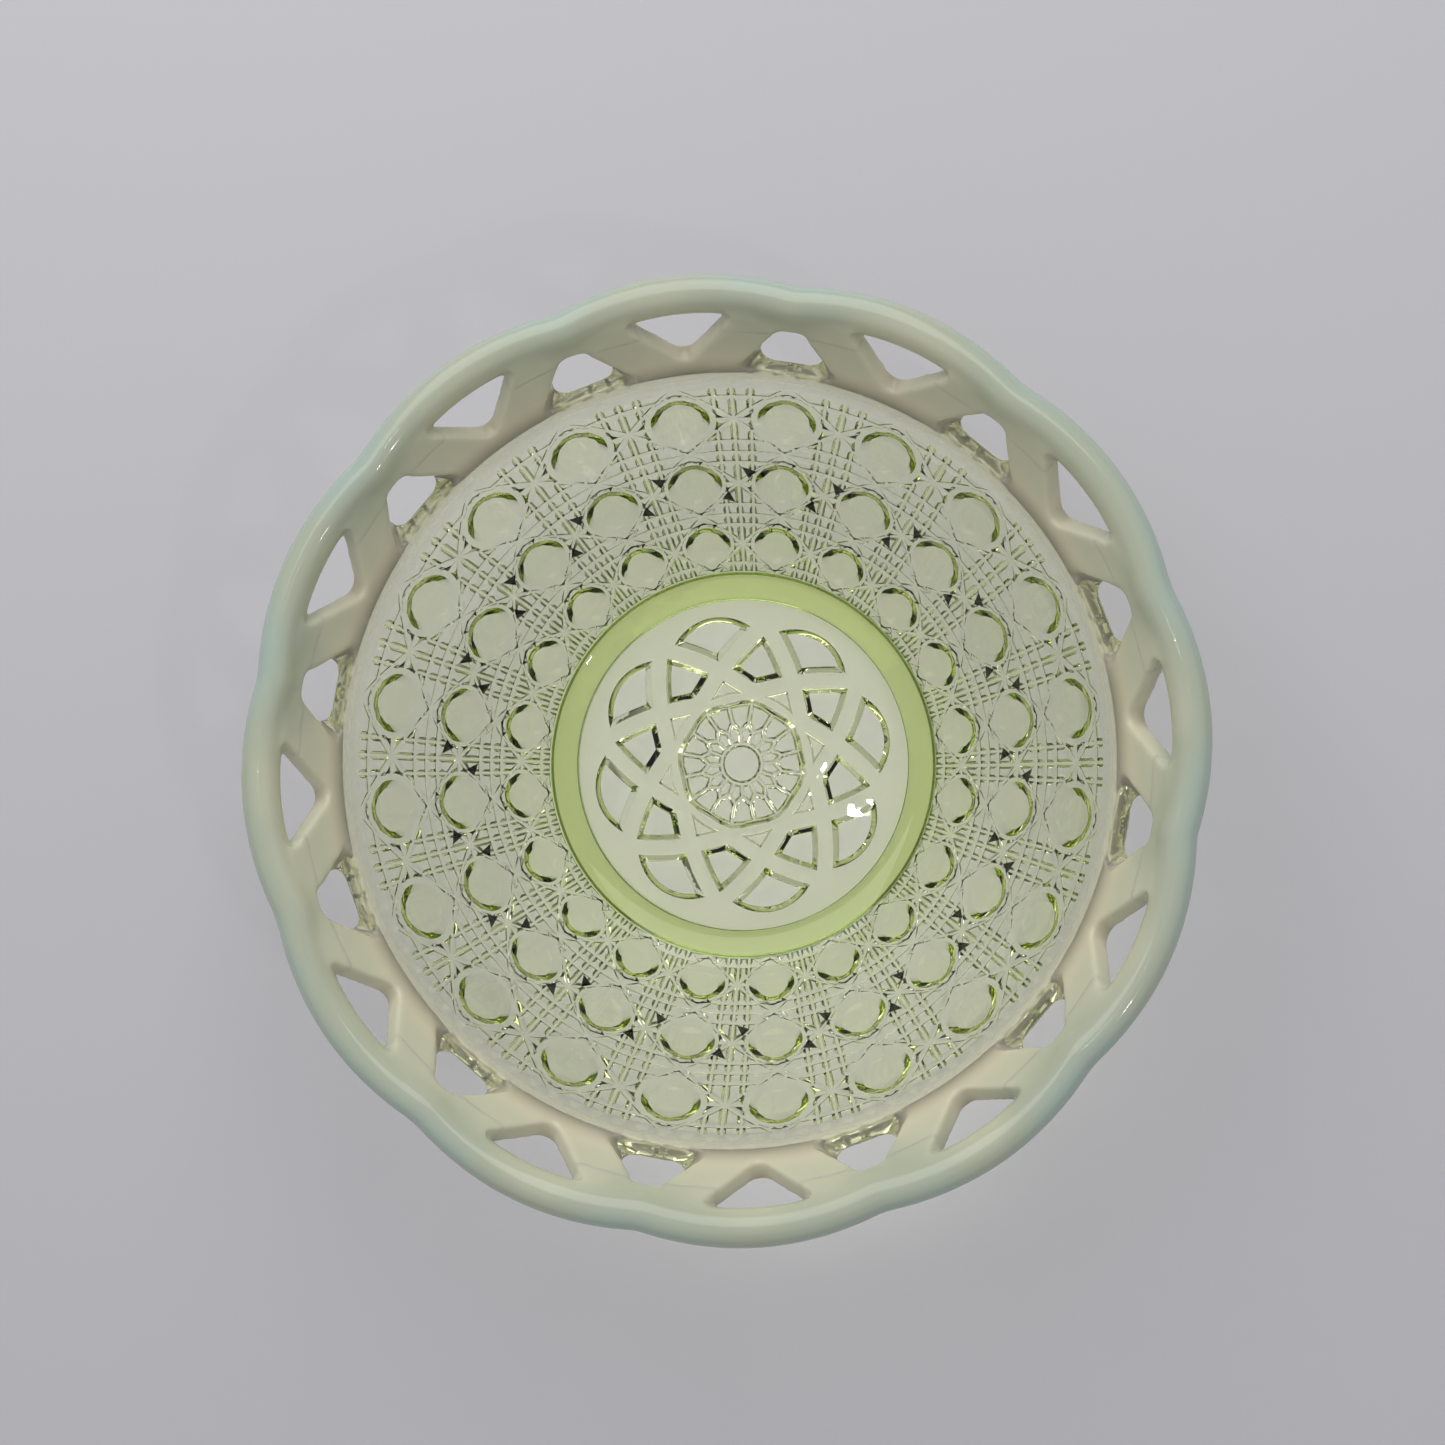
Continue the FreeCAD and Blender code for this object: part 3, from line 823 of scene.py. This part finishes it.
def make_opal_zone():
    """Collar, lattice and rim as one cast mass, its edges softened."""
    deselect()
    bpy.ops.mesh.primitive_torus_add(major_segments=288, minor_segments=24, major_radius=CROWN_RADIUS,
                                     minor_radius=RIM_DEPTH / 2 + SMOOTHING_LOSS)
    hoop = bpy.context.object
    for vert in hoop.data.vertices:
        azimuth = math.atan2(vert.co.y, vert.co.x)
        radial = math.hypot(vert.co.x, vert.co.y) - CROWN_RADIUS
        radius = scallop_radius(azimuth) + radial * RIM_WIDTH / RIM_DEPTH
        vert.co = polar(radius, azimuth, vert.co.z + RIM_MIDDLE_Z)
    half = FOOTPRINT / 2
    top = LATTICE_FOOT + LATTICE_FLARE
    outline = [(curve_radius_at(BAND_START), BAND_START), (curve_radius_at(COLLAR_BOTTOM), COLLAR_BOTTOM),
               (LATTICE_FOOT + half, COLLAR_TOP), (top + half / 2, RIM_MIDDLE_Z),
               (top - half - BAND_END_PROUD, RIM_MIDDLE_Z + BAND_END_RISE), (LATTICE_FOOT - half, COLLAR_TOP),
               (inner_radius_at(COLLAR_BOTTOM), COLLAR_BOTTOM), (inner_radius_at(BAND_START), BAND_START)]
    shell = lathe("shell", outline, set(), 240)
    cutters = gap_cutters()
    only(shell)
    cut = shell.modifiers.new("gaps", "BOOLEAN")
    cut.object = cutters
    cut.operation = "DIFFERENCE"
    cut.solver = "EXACT"
    bpy.ops.object.modifier_apply(modifier="gaps")
    bpy.data.objects.remove(cutters)
    hoop.select_set(True)
    bpy.context.view_layer.objects.active = shell
    bpy.ops.object.join()
    shell.data.remesh_voxel_size = VOXEL
    shell.data.use_remesh_fix_poles = False
    bpy.ops.object.voxel_remesh()
    smooth = shell.modifiers.new("even", "SMOOTH")
    smooth.factor = 0.5
    smooth.iterations = SMOOTHING_ROUNDS
    bpy.ops.object.modifier_apply(modifier="even")
    return shell


def part_at(source, name, low, high, material):
    """The part of a closed mesh between two heights, with flat closed ends."""
    bm = bmesh.new()
    bm.from_mesh(source.data)
    for face in bm.faces:
        face.material_index = 0
    for z, sign in ((low, -1), (high, 1)):
        if z is None:
            continue
        everything = list(bm.verts) + list(bm.edges) + list(bm.faces)
        result = bmesh.ops.bisect_plane(bm, geom=everything, plane_co=(0, 0, z), plane_no=(0, 0, sign),
                                        clear_outer=True, dist=CUT_SNAP)
        edges = [item for item in result["geom_cut"] if isinstance(item, bmesh.types.BMEdge)]
        filled = bmesh.ops.triangle_fill(bm, edges=edges, use_beauty=True, normal=(0, 0, sign))
        for item in filled["geom"]:
            if isinstance(item, bmesh.types.BMFace):
                item.material_index = 1
    for face in bm.faces:
        face.smooth = True
    face_outwards(bm)
    return piece_from(name, bm, material)


def make_collar_lattice_and_rim():
    """Cuts the cast mass at its two joints into three pieces."""
    mass = make_opal_zone()
    # The clear collar takes the bars' material, so its partial milkiness is painted sheen standing in for its
    # reflections.
    collar = part_at(mass, "collar_glass", COLLAR_BOTTOM, COLLAR_TOP, OPAL_BARS_AND_COLLAR_SHEEN)
    bars = part_at(mass, "lattice_bars_glass", COLLAR_TOP, SPLIT_Z, OPAL_BARS_AND_COLLAR_SHEEN)
    rim = part_at(mass, "rim_hoop_glass", SPLIT_Z, None, OPAL_RIM)
    bpy.data.objects.remove(mass)
    finish_piece(collar, "collar", "clear_glass", 60)
    finish_piece(bars, "lattice_bars", "opal_glass", 60)
    finish_piece(rim, "rim_hoop", "opal_glass", 60)


# ---------------------------------------------------------------- stage, lights, camera

FLOOR_SIZE = 9.0
FLOOR_DROP = 0.2 * MM
FLOOR_COLOUR = (0.66, 0.65, 0.68, 1)
SKY_COLOUR = (0.97, 0.97, 1.0, 1)
SKY_STRENGTHS = (0.12, 0.42)       # at the horizon and overhead
SKY_TURN = 0.6                     # height on the sky where it reaches its overhead strength
LAMPS = (                          # name, place, size, power
    ("window_light", (-0.24, 0.60, 0.72), 1.0, 5.5),
    ("ceiling_light_a", (-0.05, 0.03, 1.5), 0.010, 0.05),
    ("ceiling_light_b", (-0.01, 0.00, 1.5), 0.010, 0.05),
    ("side_light", (0.7, -0.35, 1.2), 0.05, 0.5),
)


def make_stage():
    """A pale floor, a sky that is brighter overhead, and the lamps."""
    deselect()
    bpy.ops.mesh.primitive_plane_add(size=FLOOR_SIZE, location=(0, 0, -FLOOR_DROP))
    floor = bpy.context.object
    floor.name = "pale_floor"
    material, _, _, shader, _ = shader_nodes("pale_paper")
    shader.inputs["Base Color"].default_value = FLOOR_COLOUR
    shader.inputs["Roughness"].default_value = 0.9
    shader.inputs["Specular IOR Level"].default_value = 0.1
    floor.data.materials.append(material)
    world = bpy.data.worlds.new("studio")
    bpy.context.scene.world = world
    world.use_nodes = True
    nodes, links = world.node_tree.nodes, world.node_tree.links
    coords = nodes.new("ShaderNodeTexCoord")
    split = nodes.new("ShaderNodeSeparateXYZ")
    links.new(coords.outputs["Generated"], split.inputs["Vector"])
    ramp = nodes.new("ShaderNodeMapRange")
    ramp.inputs["From Max"].default_value = SKY_TURN
    ramp.inputs["To Min"].default_value, ramp.inputs["To Max"].default_value = SKY_STRENGTHS
    links.new(split.outputs["Z"], ramp.inputs["Value"])
    links.new(ramp.outputs["Result"], nodes["Background"].inputs["Strength"])
    nodes["Background"].inputs["Color"].default_value = SKY_COLOUR
    for name, place, size, power in LAMPS:
        lamp = bpy.data.lights.new(name, "AREA")
        lamp.size = size
        lamp.energy = power
        light = bpy.data.objects.new(name, lamp)
        light.location = place
        light.rotation_euler = (-Vector(place)).to_track_quat("-Z", "Y").to_euler()
        bpy.context.collection.objects.link(light)
    bpy.context.scene.view_settings.view_transform = "Standard"


CAMERA_HEIGHT = 415 * MM       # above the rim's middle
CAMERA_OFFSET = 41 * MM        # from the dish's axis
CAMERA_BEARING = math.radians(-10.25)
ROLL = math.radians(9.75)
AIM_RIGHT = 1.1 * MM
AIM_UP = 6.7 * MM
VIEW_WIDTH = 296.7 * MM        # of the field of view at the rim's height
SENSOR = 36.0


def make_camera():
    """The camera looks nearly straight down, a little from one side."""
    right = Vector((math.cos(ROLL), math.sin(ROLL), 0))
    up = Vector((-math.sin(ROLL), math.cos(ROLL), 0))
    place = Vector((math.cos(CAMERA_BEARING), math.sin(CAMERA_BEARING), 0)) * CAMERA_OFFSET
    place.z = RIM_MIDDLE_Z + CAMERA_HEIGHT
    aim = right * AIM_RIGHT + up * AIM_UP + Vector((0, 0, RIM_MIDDLE_Z))
    back = (place - aim).normalized()
    side = up.cross(back).normalized()
    rise = back.cross(side)
    data = bpy.data.cameras.new("camera")
    data.sensor_width = SENSOR
    data.lens = SENSOR * (place - aim).length / VIEW_WIDTH
    camera = bpy.data.objects.new("camera", data)
    turn = Matrix((side, rise, back)).transposed()
    camera.matrix_world = Matrix.Translation(place) @ turn.to_4x4()
    bpy.context.collection.objects.link(camera)
    bpy.context.scene.camera = camera


make_stage()
make_camera()
make_foot()
make_floor()
make_wall()
make_bead_band()
make_collar_lattice_and_rim()
